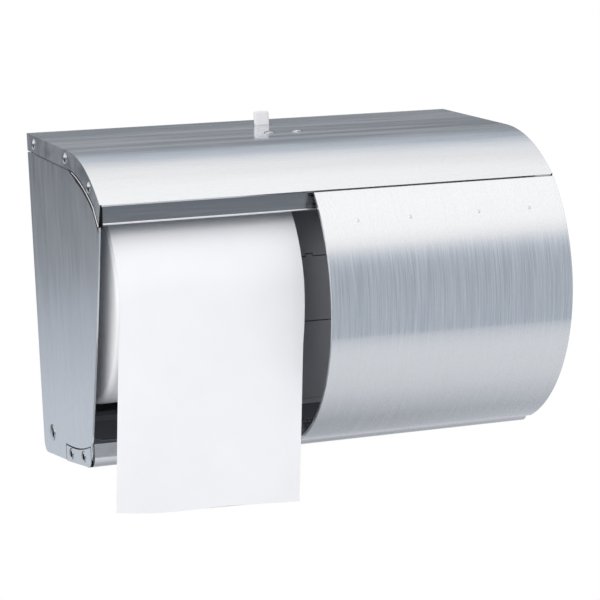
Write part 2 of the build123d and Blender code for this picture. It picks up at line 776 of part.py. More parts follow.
def hub_profile(flange_thickness, plug_length):
    """Half section of a roll hub: thin flange against the roll's end and a tapered plug in its bore."""
    bore = pin_radius + running_gap
    rim = 12.5
    plug = roll_bore_radius - skin_gap
    nose = 6.2
    taper = flange_thickness + plug_length * 0.7
    end = flange_thickness + plug_length
    return [
        Line((bore, 0), (rim, 0)),
        Line((rim, 0), (rim, flange_thickness)),
        Line((rim, flange_thickness), (plug, flange_thickness)),
        Line((plug, flange_thickness), (plug, taper)),
        Line((plug, taper), (nose, end)),
        Line((nose, end), (bore, end)),
        Line((bore, end), (bore, 0)),
    ]


def hub(x_foot, direction, flange_thickness, plug_length=12.0):
    """A roll hub with its flange's back at x_foot and its plug pointing along direction on X."""
    body = revolve(Plane.XZ * make_face(hub_profile(flange_thickness, plug_length)), axis=Axis.Z)
    return Pos(x_foot, *roll_axis) * Rot(0, 90 * direction, 0) * body


def paper_roll():
    """Right roll of coreless paper with soft edges and a small bore."""
    length = roll_outer_x - roll_inner_x
    edge = 3.0
    half_section = [
        Line((roll_bore_radius, 0), (roll_radius - edge, 0)),
        ThreePointArc((roll_radius - edge, 0), (roll_radius - edge * 0.293, edge * 0.293), (roll_radius, edge)),
        Line((roll_radius, edge), (roll_radius, length - edge)),
        ThreePointArc((roll_radius, length - edge), (roll_radius - edge * 0.293, length - edge * 0.293),
                      (roll_radius - edge, length)),
        Line((roll_radius - edge, length), (roll_bore_radius, length)),
        Line((roll_bore_radius, length), (roll_bore_radius, 0)),
    ]
    body = revolve(Plane.XZ * make_face(half_section), axis=Axis.Z)
    return Pos(roll_inner_x, *roll_axis) * Rot(0, 90, 0) * body


def paper_tail():
    """The left roll's loose end: it leaves the roll over its front and hangs, leaning a little."""
    y, z = roll_axis
    gap = 0.3
    inner = roll_radius + gap
    wrap = yz_solid(arc_band(roll_axis, inner + sheet_thickness, inner, 125, 180), -roll_outer_x, -roll_inner_x)
    middle = -(roll_outer_x + roll_inner_x) / 2
    width = roll_outer_x - roll_inner_x
    drop = block((-width / 2, width / 2), (y - inner - sheet_thickness, y - inner), (-tail_drop, 2.9))
    drop = Pos(middle, 0, z) * Rot(0, tail_lean, 0) * drop
    return wrap + drop


def side_pin():
    """Right roll pin, pressed into the outer arm."""
    return rod_x(pin_radius, 107.5, arm_outer_x - 0.1, *roll_axis)


def left_of(piece):
    return mirror(piece, about=Plane.YZ)


os.makedirs("parts", exist_ok=True)

outer_hub_foot = 121.6
inner_hub_foot = 17.0

pieces = {
    "back_plate": back_plate(),
    "rear_liner": rear_liner(),
    "centre_post": centre_post(),
    "post_band": post_band(),
    "right_arm": outer_arm(),
    "left_arm": left_of(outer_arm()),
    "centre_pin": rod_x(pin_radius, -31.5, 31.5, *roll_axis),
    "right_pin": side_pin(),
    "left_pin": left_of(side_pin()),
    "post_screws": pan_screws(post_screw_places, liner_face_y - 2.5),
    "arm_screws": pan_screws(arm_screw_places, liner_face_y - 2.5),
    "paper_tail": paper_tail(),
    "right_roll": paper_roll(),
    "left_roll": left_of(paper_roll()),
    "right_outer_hub": hub(outer_hub_foot, -1, outer_hub_foot - roll_outer_x),
    "right_inner_hub": hub(inner_hub_foot, 1, roll_inner_x - inner_hub_foot),
    "left_outer_hub": hub(-outer_hub_foot, 1, outer_hub_foot - roll_outer_x),
    "left_inner_hub": hub(-inner_hub_foot, -1, roll_inner_x - inner_hub_foot),
    "hood": hood(),
    "right_side_panel": side_panel(),
    "left_side_panel": left_of(side_panel()),
    "bottom_pan": bottom_pan(),
    "door_rail": door_rail(),
    "hood_rivets": side_rivets(hood_rivet_places, case_half_width, hood_rivet_radius, 1.1, 3.0),
    "pan_rivets": side_rivets(pan_rivet_places, case_half_width, pan_rivet_radius, 1.1, 2.0),
    "hinge_pins": hinge_pins(),
    "hinge_clips": hinge_clips(),
    "latch_bracket": latch_bracket(),
    "lock_rivets": lock_rivets(),
    "latch_pin": latch_pin(),
    "latch_spring": latch_spring(),
    "latch_lever": latch_lever(),
    "release_key": release_key(),
    "door_panel": door_panel(),
    "door_top_bracket": door_top_bracket(),
    "door_lower_clips": door_lower_clips(),
    "door_glides": door_glides(),
}

for name, piece in pieces.items():
    export_step(Pos(0, 0, -mount_height) * piece, f"parts/{name}.step")
    print(name)
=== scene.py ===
"""Looks of a wall-mounted dispenser for two coreless paper rolls, built round its CAD frame.

The add-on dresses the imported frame: brushed stainless sheets with bright folded edges, a sliding door with
weld marks, moulded carrier, paper rolls and the hanging sheet, in a plain studio.
Places are written in millimetres, with heights from the case's lower edge, as on a drawing of the case.
"""

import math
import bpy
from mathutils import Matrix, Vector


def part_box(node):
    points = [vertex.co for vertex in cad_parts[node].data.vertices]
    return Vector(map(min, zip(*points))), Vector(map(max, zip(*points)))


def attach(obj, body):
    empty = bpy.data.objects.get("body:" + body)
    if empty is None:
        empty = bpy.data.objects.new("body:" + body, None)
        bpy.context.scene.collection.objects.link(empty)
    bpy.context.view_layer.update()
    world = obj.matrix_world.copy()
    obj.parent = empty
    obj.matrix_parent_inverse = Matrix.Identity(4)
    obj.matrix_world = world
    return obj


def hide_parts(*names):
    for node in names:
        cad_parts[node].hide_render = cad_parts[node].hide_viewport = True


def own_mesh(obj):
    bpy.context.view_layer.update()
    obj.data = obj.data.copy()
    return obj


bl_info = {
    "name": "Twin-roll paper dispenser",
    "version": (1, 0, 0),
    "blender": (4, 5, 0),
    "location": "View3D > Sidebar > Dispenser",
    "description": "Dresses the frame of a stainless dispenser for two coreless paper rolls",
    "category": "Object",
}

import bpy
from bpy.props import FloatProperty, FloatVectorProperty, PointerProperty
from mathutils import Matrix, Vector

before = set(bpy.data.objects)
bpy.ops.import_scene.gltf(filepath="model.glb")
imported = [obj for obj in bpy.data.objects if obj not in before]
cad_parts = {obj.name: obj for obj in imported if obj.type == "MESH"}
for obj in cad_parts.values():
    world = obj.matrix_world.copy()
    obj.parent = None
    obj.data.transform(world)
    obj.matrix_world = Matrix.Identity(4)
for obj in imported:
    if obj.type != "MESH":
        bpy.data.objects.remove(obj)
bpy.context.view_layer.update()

MM = 0.001
CASE_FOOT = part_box("left_side_panel")[0].z / MM

# Places of the case, in millimetres
ROLL_AXIS = (-74.5, 98.0)
ROLL_RADIUS = 62.5
ROLL_BORE = 8.05
ROLL_INNER_X = 18.9
ROLL_OUTER_X = 120.5
DOOR_CENTRE = (-73.5, 91.17)
DOOR_RADIUS = 88.76
DOOR_MIDDLE_X = 58.3
RAIL_FACE = -138.5
RAIL_FOOT = 136.3
RAIL_HALF_LENGTH = 126.3
HOOD_X = 128.5
FLANGE_REAR = (-8.5, 170.5)
LINER_HALF_WIDTH = 121.0
SHEET = 1.0
# Near black painted on the steel as the shade in gaps and on cut edges
PAINTED_SHADE_TONE = 0.02
FLANGE_EDGE = ((-84.0, 163.3), (-110.0, 155.8), (-130.2, 144.9), (-137.7, 135.5))

# White share of the floor as the steel mirrors it, by the metres behind a line before its front edge
MIRRORED_FLOOR = ((0.17, 0.0), (0.23, 0.25), (0.30, 0.60), (0.36, 0.68), (0.47, 0.68), (0.54, 0.58),
                  (0.60, 0.36), (0.7, 0.0), (0.85, 0.0), (1.0, 0.6))

# Brightness of the light tent by the height of the direction, from -1 below to 1 above
FRONT_WALL = ((-1.0, 0.55), (-0.4, 0.56), (0.0, 0.52), (0.12, 0.53), (0.22, 0.56), (0.30, 0.68),
              (0.375, 0.92), (0.44, 1.15), (0.50, 1.25), (0.55, 1.32), (0.78, 1.35), (1.0, 1.28))
LEFT_WALL = ((-1.0, 0.5), (-0.3, 0.22), (-0.12, 0.2), (-0.04, 0.06), (0.08, 1.25), (1.0, 1.25))
REAR_WALL = ((-0.3, 0.68), (-0.177, 0.68), (-0.128, 0.53), (-0.108, 0.45), (-0.089, 0.315), (-0.02, 0.175),
             (0.05, 0.21), (0.24, 0.25), (0.41, 0.27), (0.57, 0.42), (0.70, 0.66), (0.81, 0.98), (0.87, 1.12),
             (0.95, 1.22), (1.0, 1.25))


def at(x, y, z):
    """A point of the case in the frame's metres."""
    return Vector((x, y, z + CASE_FOOT)) * MM


def polar(centre, radius, degrees):
    """Y and Z of a point at an angle from +Y about a centre."""
    turn = math.radians(degrees)
    return centre[0] + radius * math.cos(turn), centre[1] + radius * math.sin(turn)


# Shader graphs


class Signal:
    """A socket of a shader graph, whose sums add Math nodes."""

    def __init__(self, graph, socket):
        self.graph = graph
        self.socket = socket

    def maths(self, operation, *values):
        return self.graph.add("ShaderNodeMath", {"operation": operation}, dict(enumerate(values)))

    def __add__(self, other):
        return self.maths("ADD", self, other)

    def __radd__(self, other):
        return self.maths("ADD", other, self)

    def __sub__(self, other):
        return self.maths("SUBTRACT", self, other)

    def __rsub__(self, other):
        return self.maths("SUBTRACT", other, self)

    def __mul__(self, other):
        return self.maths("MULTIPLY", self, other)

    def __rmul__(self, other):
        return self.maths("MULTIPLY", other, self)

    def axes(self):
        """X, Y and Z of a vector."""
        first = self.graph.add("ShaderNodeSeparateXYZ", {}, {0: self})
        return [Signal(self.graph, socket) for socket in first.socket.node.outputs]


class Graph:
    """A shader graph that is filled from an empty one."""

    def __init__(self, tree):
        self.tree = tree
        tree.nodes.clear()

    def add(self, kind, settings, sockets, output=0):
        """One node: its settings first, then the values or links of its sockets."""
        node = self.tree.nodes.new(kind)
        for name, value in settings.items():
            if name == "stops":
                fill_ramp(node.color_ramp, value)
            else:
                setattr(node, name, value)
        for name, value in sockets.items():
            if isinstance(value, Signal):
                self.tree.links.new(value.socket, node.inputs[name])
            else:
                node.inputs[name].default_value = value
        return Signal(self, node.outputs[output]) if node.outputs else None

    def colour_mix(self, factor, first, second):
        return self.add("ShaderNodeMix", {"data_type": "RGBA"}, {0: factor, 6: first, 7: second}, 2)

    def vector(self, x, y, z):
        return self.add("ShaderNodeCombineXYZ", {}, {0: x, 1: y, 2: z})

    def noise(self, place, detail=3.0):
        return self.add("ShaderNodeTexNoise", {}, {"Vector": place, "Scale": 1.0, "Detail": detail})

    def place(self):
        """The point on the piece, in metres of the frame at rest."""
        return self.add("ShaderNodeTexCoord", {}, {}, "Object")

    def cloud(self, scale):
        """Even noise with a number of lumps per metre."""
        scaled = self.add("ShaderNodeVectorMath", {"operation": "SCALE"}, {0: self.place(), "Scale": scale})
        return self.noise(scaled)


def fill_ramp(ramp, stops):
    """Stops of a colour ramp as pairs of place and grey or colour."""
    while len(ramp.elements) < len(stops):
        ramp.elements.new(1.0)
    for element, (position, tone) in zip(ramp.elements, stops):
        element.position = position
        element.color = opaque(tone)


def opaque(tone, factor=1.0):
    """A colour of four numbers from a grey or a colour of three."""
    shades = (tone,) * 3 if isinstance(tone, (int, float)) else tuple(tone)[:3]
    return tuple(shade * factor for shade in shades) + (1.0,)


def new_material(name):
    material = bpy.data.materials.new(name)
    material.use_nodes = True
    return material, Graph(material.node_tree)


def finish_material(graph, sockets):
    """Principled surface from the sockets that are given."""
    shader = graph.add("ShaderNodeBsdfPrincipled", {}, sockets)
    graph.add("ShaderNodeOutputMaterial", {}, {"Surface": shader})


def soft_edges(graph, radius):
    """Normals that round a sheet's cut edges over a radius in millimetres."""
    return graph.add("ShaderNodeBevel", {"samples": 4}, {"Radius": radius * MM})


def bumped(graph, height, depth, normal):
    """Normals of a height from 0 to 1 that stands for a depth in millimetres."""
    sockets = {"Height": height, "Strength": 1.0, "Distance": depth * MM, "Normal": normal}
    return graph.add("ShaderNodeBump", {}, sockets)


def grain_place(graph, grain, length, width):
    """Coordinates with one unit per streak length along the grain and per streak width across it."""
    x, y, z = graph.place().axes()
    along = 1 / (length * MM)
    across = 1 / (width * MM)
    if grain == "LENGTHWISE":
        return graph.vector(x * along, y * across, z * across)
    if grain == "UPRIGHT":
        return graph.vector(x * across, y * across, z * along)
    return graph.vector(x * across, y * along, z * along)


def beyond_corner(graph, inner_x, outer_x, before_y, below_z=200.0):
    """Share of a sheet that lies between two widths, in front of a depth and below a height."""
    x, y, z = graph.place().axes()
    width = x.maths("ABSOLUTE", x)
    between = width.maths("GREATER_THAN", width, inner_x * MM) * width.maths("LESS_THAN", width, outer_x * MM)
    before = y.maths("LESS_THAN", y, before_y * MM)
    return between * before * z.maths("LESS_THAN", z, (below_z + CASE_FOOT) * MM)


def beside_line(graph, first, last, half_width):
    """Share of a side within a distance of the straight line between two places of Y and Z."""
    x, y, z = graph.place().axes()
    run = Vector((last[0] - first[0], last[1] - first[1])).normalized()
    off_line = (y - first[0] * MM) * run.y - (z - (first[1] + CASE_FOOT) * MM) * run.x
    near = off_line.maths("LESS_THAN", off_line.maths("ABSOLUTE", off_line), half_width * MM)
    return near * y.maths("LESS_THAN", y, first[0] * MM) * y.maths("GREATER_THAN", y, last[0] * MM)


def beside_seam(graph, half_width):
    """Share of a side beside a hood flange's edge, painted near black as the shade in the joint: a rear
    hairline, an arc and a straight tip.
    """
    x, y, z = graph.place().axes()
    first, middle, last, tip = FLANGE_EDGE
    centre, radius = circle_through(first, middle, last)
    away_y = y - centre[0] * MM
    away_z = z - (centre[1] + CASE_FOOT) * MM
    square = away_y * away_y + away_z * away_z
    off_arc = square.maths("SQRT", square) - radius * MM
    hairline = half_width * 0.14
    widening = 16.0
    width = graph.add("ShaderNodeMapRange", {}, {
        "Value": y, "From Min": first[0] * MM, "From Max": (first[0] - widening) * MM,
        "To Min": hairline * MM, "To Max": half_width * MM})
    on_arc = off_arc.maths("LESS_THAN", off_arc.maths("ABSOLUTE", off_arc), width)
    on_arc = on_arc * y.maths("LESS_THAN", y, first[0] * MM) * y.maths("GREATER_THAN", y, last[0] * MM)
    on_tip = beside_line(graph, last, tip, half_width)
    on_rear = beside_line(graph, FLANGE_REAR, first, hairline)
    return on_arc.maths("MAXIMUM", on_arc, on_tip.maths("MAXIMUM", on_tip, on_rear))


def brushed_steel(name, grain, steel, tone=1.0, bands=0.0, painted_shade=None):
    """Stainless sheet with long brush lines; grain is LENGTHWISE, UPRIGHT or ROUND.

    Scratched lines scatter some light, so they stand out where the sheet mirrors something dark. Bands is
    the share of wide soft bands among them, and the last argument gives the share of the sheet that is
    painted near black: painted shade in gaps and on cut edges.
    """
    material, graph = new_material(name)
    length, width = steel.streak_length, steel.streak_width
    fine = graph.noise(grain_place(graph, grain, length, width))
    broad = graph.noise(grain_place(graph, grain, length * 3, width * 9), detail=2.0)
    band = graph.noise(grain_place(graph, grain, length * 8, width * 24), detail=1.0)
    broad_share = 0.1
    streak = (fine * (1 - broad_share) + broad * broad_share) * (1 - bands) + band * bands
    bare, full = 0.38, 0.62
    scratched = graph.add("ShaderNodeMapRange", {}, {"Value": streak, "From Min": bare, "From Max": full})
    dark = opaque(steel.colour, tone * (1 - steel.contrast))
    light = opaque(steel.colour, tone * (1 + steel.contrast))
    colour = graph.colour_mix(scratched, dark, light)
    # Painted shade: near black where the sheet lies in a joint or shows a cut edge
    if painted_shade:
        colour = graph.colour_mix(painted_shade(graph), colour, opaque(PAINTED_SHADE_TONE))
    edges = soft_edges(graph, steel.edge_radius)
    waves = bumped(graph, broad, steel.wave_depth * (0.2 + bands), edges)
    blur = 0.08
    sockets = {
        "Base Color": colour,
        "Metallic": 1.0 - scratched * steel.scatter,
        "Specular IOR Level": 0.0,
        "Roughness": steel.roughness - blur / 2 + scratched * blur,
        "Normal": bumped(graph, fine, steel.line_depth, waves),
    }
    finish_material(graph, sockets)
    return material


def plain_metal(name, colour, roughness, edge_radius=0.25):
    """Rolled or turned metal with a faint cloudy finish."""
    material, graph = new_material(name)
    cloud = graph.cloud(scale=160.0)
    spread = 0.07
    blur = 0.1
    sockets = {
        "Base Color": graph.colour_mix(cloud, opaque(colour, 1 - spread), opaque(colour, 1 + spread)),
        "Metallic": 1.0,
        "Roughness": cloud * blur + (roughness - blur / 2),
        "Normal": soft_edges(graph, edge_radius),
    }
    finish_material(graph, sockets)
    return material


def moulded_plastic(name, colour, roughness, texture_depth=0.02, edge_radius=0.4, clearness=0.0):
    """Injection-moulded plastic with a fine spark texture and soft edges; a milky one lets light through."""
    material, graph = new_material(name)
    grains = graph.cloud(scale=1400.0)
    spread = 0.06
    blur = 0.1
    sockets = {
        "Base Color": graph.colour_mix(grains, opaque(colour, 1 - spread), opaque(colour, 1 + spread)),
        "Roughness": grains * blur + (roughness - blur / 2),
        "Specular IOR Level": 0.4,
        "Transmission Weight": clearness,
        "Normal": bumped(graph, grains, texture_depth, soft_edges(graph, edge_radius)),
    }
    finish_material(graph, sockets)
    return material


def dress(material, *nodes):
    """Give CAD nodes a material in place of their plain slots."""
    for name in nodes:
        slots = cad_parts[name].data.materials
        slots.clear()
        slots.append(material)


# Meshes


def new_piece(name, points, faces, material, body, slot):
    """A smooth mesh in the frame that rides on a body; its edges stay sharp over an angle."""
    sharp_degrees = 35.0
    mesh = bpy.data.meshes.new(name)
    mesh.from_pydata([tuple(point) for point in points], [], faces)
    mesh.validate()
    mesh.polygons.foreach_set("use_smooth", [True] * len(mesh.polygons))
    mesh.set_sharp_from_angle(angle=math.radians(sharp_degrees))
    mesh.materials.append(material)
    piece = bpy.data.objects.new(name, mesh)
    bpy.context.scene.collection.objects.link(piece)
    if body:
        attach(piece, body)
    return piece


def loft(rows, closed_rows=False, closed_loop=False):
    """Faces between rows of points: a row may be a ring, and the last row may join the first."""
    count = len(rows[0])
    points = [point for row in rows for point in row]
    faces = []
    for row in range(len(rows) if closed_loop else len(rows) - 1):
        low = row * count
        high = (row + 1) % len(rows) * count
        for step in range(count if closed_rows else count - 1):
            after = (step + 1) % count
            faces.append((low + step, low + after, high + after, high + step))
    return points, faces


def close_ends(points, faces, count):
    """Flat caps on the first and last ring of a loft of rings."""
    faces.append(tuple(reversed(range(count))))
    faces.append(tuple(range(len(points) - count, len(points))))
    return points, faces


def rounded(share, power):
    """A share from -1 to 1 raised to a power, with its sign; low powers square an ellipse."""
    return math.copysign(abs(share) ** power, share)


def turned_about_roll_axis(profile, steps, side=1):
    """Rings of a profile of X and radius pairs, turned about the rolls' axis."""
    rows = []
    for step in range(steps):
        degrees = 360.0 * step / steps
        rows.append([at(side * x, *polar(ROLL_AXIS, radius, degrees)) for x, radius in profile])
    return loft(rows, closed_rows=True, closed_loop=True)


def circle_through(first, middle, last):
    """Centre and radius of the circle through three places of a plane."""
    (ax, ay), (bx, by), (cx, cy) = first, middle, last
    twice = 2 * (ax * (by - cy) + bx * (cy - ay) + cx * (ay - by))
    squares = [x * x + y * y for x, y in (first, middle, last)]
    centre = ((squares[0] * (by - cy) + squares[1] * (cy - ay) + squares[2] * (ay - by)) / twice,
              (squares[0] * (cx - bx) + squares[1] * (ax - cx) + squares[2] * (bx - ax)) / twice)
    return centre, math.dist(centre, first)


def arc_points(first, middle, last, steps):
    """Points of the round arc through three places of a plane."""
    centre, radius = circle_through(first, middle, last)
    start = math.atan2(first[1] - centre[1], first[0] - centre[0])
    sweep = math.atan2(last[1] - centre[1], last[0] - centre[0]) - start
    sweep = (sweep + math.pi) % (2 * math.pi) - math.pi
    return [polar(centre, radius, math.degrees(start + sweep * step / steps)) for step in range(steps + 1)]


def rod(places, radius, sides=12):
    """A thin round rod along places of the frame, with a radius in millimetres."""
    rows = []
    for index, place in enumerate(places):
        ahead = places[min(index + 1, len(places) - 1)] - places[max(index - 1, 0)]
        run = ahead.normalized()
        aside = run.cross(Vector((0, 0, 1)) if abs(run.x) > 0.9 else Vector((1, 0, 0))).normalized()
        above = aside.cross(run)
        ring = []
        for step in range(sides):
            turn = 2 * math.pi * step / sides
            ring.append(place + (aside * math.cos(turn) + above * math.sin(turn)) * radius * MM)
        rows.append(ring)
    points, faces = loft(rows, closed_rows=True)
    return close_ends(points, faces, sides)


def joined(parts):
    """One list of points and one of faces from several."""
    points = []
    faces = []
    for part_points, part_faces in parts:
        faces += [tuple(corner + len(points) for corner in face) for face in part_faces]
        points += part_points
    return points, faces


def turned_button(centre, outward, profile, steps=28):
    """A small round button from radius and height pairs, with its foot at a place of a face."""
    aside = outward.orthogonal().normalized()
    above = outward.cross(aside)
    rows = []
    for radius, height in profile:
        ring = []
        for step in range(steps):
            turn = 2 * math.pi * step / steps
            reach = (aside * math.cos(turn) + above * math.sin(turn)) * radius
            ring.append(centre + (reach + outward * height) * MM)
        rows.append(ring)
    points, faces = loft(rows, closed_rows=True)
    return close_ends(points, faces, steps)


# Settings


class SteelSettings(bpy.types.PropertyGroup):
    """Brushed stainless sheet."""
    colour: FloatVectorProperty(
        name="Steel colour", description="Reflected colour of the bare stainless sheet",
        subtype="COLOR", size=3, min=0, max=1, default=(0.66, 0.685, 0.715))
    roughness: FloatProperty(
        name="Roughness", description="Blur of the steel's reflections along the brush lines",
        subtype="FACTOR", min=0, max=1, default=0.14)
    contrast: FloatProperty(
        name="Streak contrast", description="Share by which streaks are lighter or darker than the sheet",
        subtype="FACTOR", min=0, max=1, default=0.03)
    scatter: FloatProperty(
        name="Scatter", description="Share of the light that a scratched line scatters",
        subtype="FACTOR", min=0, max=1, default=0.22)
    streak_length: FloatProperty(
        name="Streak length", description="Length of a brush line in millimetres", min=1, default=30.0)
    streak_width: FloatProperty(
        name="Streak width", description="Width of a brush line in millimetres", min=0.05, default=0.45)
    line_depth: FloatProperty(
        name="Line depth", description="Depth of a brush line in millimetres", min=0, default=0.0025)
    wave_depth: FloatProperty(
        name="Wave depth", description="Depth of the slow waves of rolled sheet in millimetres",
        min=0, default=0.02)
    edge_radius: FloatProperty(
        name="Edge radius", description="Rounding of cut edges in millimetres", min=0.01, default=0.3)
    # Hem colour is brighter than the sheet's own steel: the hems' bright lines are partly a painted
    # highlight, partly the tent they mirror
    hem_colour: FloatVectorProperty(
        name="Hem colour", description="Reflected colour of folded and rolled edges",
        subtype="COLOR", size=3, min=0, max=1, default=(0.9, 0.91, 0.93))
    hem_radius: FloatProperty(
        name="Hem radius", description="Radius of a folded edge in millimetres", min=0.1, default=0.55)


class PlasticSettings(bpy.types.PropertyGroup):
    """Moulded pieces."""
    carrier_colour: FloatVectorProperty(
        name="Carrier colour", description="Dark grey of the post, arms and liner",
        subtype="COLOR", size=3, min=0, max=1, default=(0.29, 0.30, 0.32))
    liner_colour: FloatVectorProperty(
        name="Liner colour", description="Near black of the panel behind the rolls",
        subtype="COLOR", size=3, min=0, max=1, default=(0.045, 0.046, 0.052))
    hub_colour: FloatVectorProperty(
        name="Hub colour", description="Colour of the roll hubs",
        subtype="COLOR", size=3, min=0, max=1, default=(0.2, 0.2, 0.21))
    key_colour: FloatVectorProperty(
        name="Key colour", description="Milky white of the key and the nylon glides",
        subtype="COLOR", size=3, min=0, max=1, default=(0.81, 0.81, 0.83))


class PaperSettings(bpy.types.PropertyGroup):
    """Rolls and the hanging sheet."""
    colour: FloatVectorProperty(
        name="Paper colour", description="Colour of the tissue",
        subtype="COLOR", size=3, min=0, max=1, default=(0.9, 0.905, 0.915))
    lean: FloatProperty(
        name="Lean", description="Turn of the hanging sheet out of plumb",
        subtype="ANGLE", default=math.radians(4.2))
    tilt: FloatProperty(
        name="Tilt", description="Turn of the torn edge out of level",
        subtype="ANGLE", default=math.radians(3.0))
    drop: FloatProperty(
        name="Drop", description="Length below the roll's axis in millimetres", min=10, default=114.1)
    thickness: FloatProperty(
        name="Thickness", description="Thickness of the two plies in millimetres", min=0.05, default=0.35)
    wave: FloatProperty(
        name="Wave", description="Depth of the sheet's slack waves in millimetres", min=0, default=0.6)
    bulge: FloatProperty(
        name="Bulge", description="Extra length of the torn edge near its left end in millimetres",
        min=0, default=2.2)
    curl: FloatProperty(
        name="Curl", description="Reach of the torn edge back towards the wall in millimetres",
        min=0, default=2.0)
    drift: FloatProperty(
        name="Drift", description="Shift of the hanging sheet towards the middle in millimetres", default=1.3)
    winding_pitch: FloatProperty(
        name="Winding pitch", description="Distance of the rings on a roll's end in millimetres",
        min=0.2, default=1.6)


class StudioSettings(bpy.types.PropertyGroup):
    """Camera, floor and light."""
    camera_place: FloatVectorProperty(
        name="Camera place", description="Where the camera stands in the frame",
        subtype="TRANSLATION", unit="LENGTH", size=3, default=(-0.4536, -1.2850, 0.1341))
    azimuth: FloatProperty(
        name="Azimuth", description="Turn of the view to the right of straight back",
        subtype="ANGLE", default=math.radians(20.687))
    depression: FloatProperty(
        name="Depression", description="Angle by which the camera looks down",
        subtype="ANGLE", default=math.radians(6.278))
    roll: FloatProperty(
        name="Roll", description="Turn of the picture about the line of sight",
        subtype="ANGLE", default=math.radians(-2.646))
    lens: FloatProperty(
        name="Lens", description="Focal length in millimetres on a 36 mm sensor", min=10, default=140.03)
    floor_height: FloatProperty(
        name="Floor height", description="Height of the floor in the frame",
        unit="LENGTH", default=-0.30)
    floor_colour: FloatVectorProperty(
        name="Floor colour", description="Colour of the pale floor",
        subtype="COLOR", size=3, min=0, max=1, default=(0.61, 0.63, 0.67))
    tent_radius: FloatProperty(
        name="Tent radius", description="Distance of the tent's cloth from the wall side of the dispenser",
        unit="LENGTH", min=1, default=2.6)
    tent_strength: FloatProperty(
        name="Tent strength", description="Brightness of the brightest cloth of the tent",
        min=0.1, default=1.4)
    cool_tint: FloatVectorProperty(
        name="Cool tint", description="Colour of the tent's dark cloth",
        subtype="COLOR", size=3, min=0, default=(0.93, 1.0, 1.11))
    warm_tint: FloatVectorProperty(
        name="Warm tint", description="Colour of the tent's bright cloth",
        subtype="COLOR", size=3, min=0, default=(1.03, 1.0, 0.975))
    key_power: FloatProperty(
        name="Key light", description="Power of the soft light at the front left",
        unit="POWER", min=0, default=15.0)


# Operators


class DISPENSER_OT_sheets(bpy.types.Operator):
    """Finish the hood, sides, pan and rail as brushed stainless sheets."""
    bl_idname = "dispenser.sheets"
    bl_label = "Steel sheets"

    def execute(self, context):
        steel = context.scene.dispenser_steel
        # Half widths in millimetres of the painted shade beside the flanges' edges
        hood_shade_half_width, panel_shade_half_width = 1.5, 2.4
        cut_edge = (HOOD_X - SHEET - 0.05, HOOD_X - 0.1)
        lapped = (0.0, HOOD_X - SHEET + 0.03)

        # Painted shade: the hood's cut edge at the front corners and a band beside each flange's edge are
        # near black
        def hood_painted_shade(graph):
            front_edge = beyond_corner(graph, *cut_edge, before_y=-136.8, below_z=147.0)
            return front_edge.maths("MAXIMUM", front_edge, beside_seam(graph, hood_shade_half_width))

        # Painted shade: the panels' lapped heads, the strip round the pan's tabs and a band beside the
        # flange's edge are near black
        def panel_painted_shade(graph):
            head = beyond_corner(graph, *lapped, before_y=-134.0)
            around_tab = beyond_corner(graph, *lapped, before_y=-48.0, below_z=17.5)
            painted_shade = head.maths("MAXIMUM", head, around_tab)
            return painted_shade.maths("MAXIMUM", painted_shade, beside_seam(graph, panel_shade_half_width))

        # Painted shade: the pan's cut edges at its ends are near black
        def tab_edge_painted_shade(graph):
            return beyond_corner(graph, *cut_edge, before_y=0.0)

        dress(brushed_steel("steel_hood", "LENGTHWISE", steel, bands=0.45, painted_shade=hood_painted_shade), "hood")
        dress(brushed_steel("steel_pan", "LENGTHWISE", steel, painted_shade=tab_edge_painted_shade), "bottom_pan")
        dress(brushed_steel("steel_upright", "UPRIGHT", steel, painted_shade=panel_painted_shade), "left_side_panel",
              "right_side_panel")
        # Painted shade: the rail is the same brushed steel darkened to 0.42 of its tone
        dress(brushed_steel("steel_rail", "LENGTHWISE", steel, tone=0.42), "door_rail")
        return {"FINISHED"}


class DISPENSER_OT_hems(bpy.types.Operator):
    """Build the bright folded and rolled edges of the rail and the hood's flanges."""
    bl_idname = "dispenser.hems"
    bl_label = "Bright hems"

    def execute(self, context):
        steel = context.scene.dispenser_steel
        # Partly painted highlight: the hems are in steel brighter than the sheets they fold from
        bright = plain_metal("hem_steel", steel.hem_colour, roughness=0.3)
        proud = 0.15
        hem_height = RAIL_FOOT + steel.hem_radius
        ends = [at(side * RAIL_HALF_LENGTH, RAIL_FACE - proud, hem_height) for side in (-1, 1)]
        new_piece("rail_hem", *rod(ends, steel.hem_radius), bright, "cover", "brushed_steel")
        sunk, raised = 0.1, 0.07
        first, middle, last, tip = FLANGE_EDGE
        steps, dull_steps = 24, 4
        line = arc_points(first, middle, last, steps)[dull_steps:] + [tip]
        edges = []
        for side in (-1, 1):
            places = [at(side * (HOOD_X - sunk), y + raised, z + raised) for y, z in line]
            edges.append(rod(places, steel.hem_radius * 0.6))
        satin = plain_metal("fold_steel", steel.hem_colour, roughness=0.45)
        new_piece("flange_edges", *joined(edges), satin, "cover", "brushed_steel")
        return {"FINISHED"}


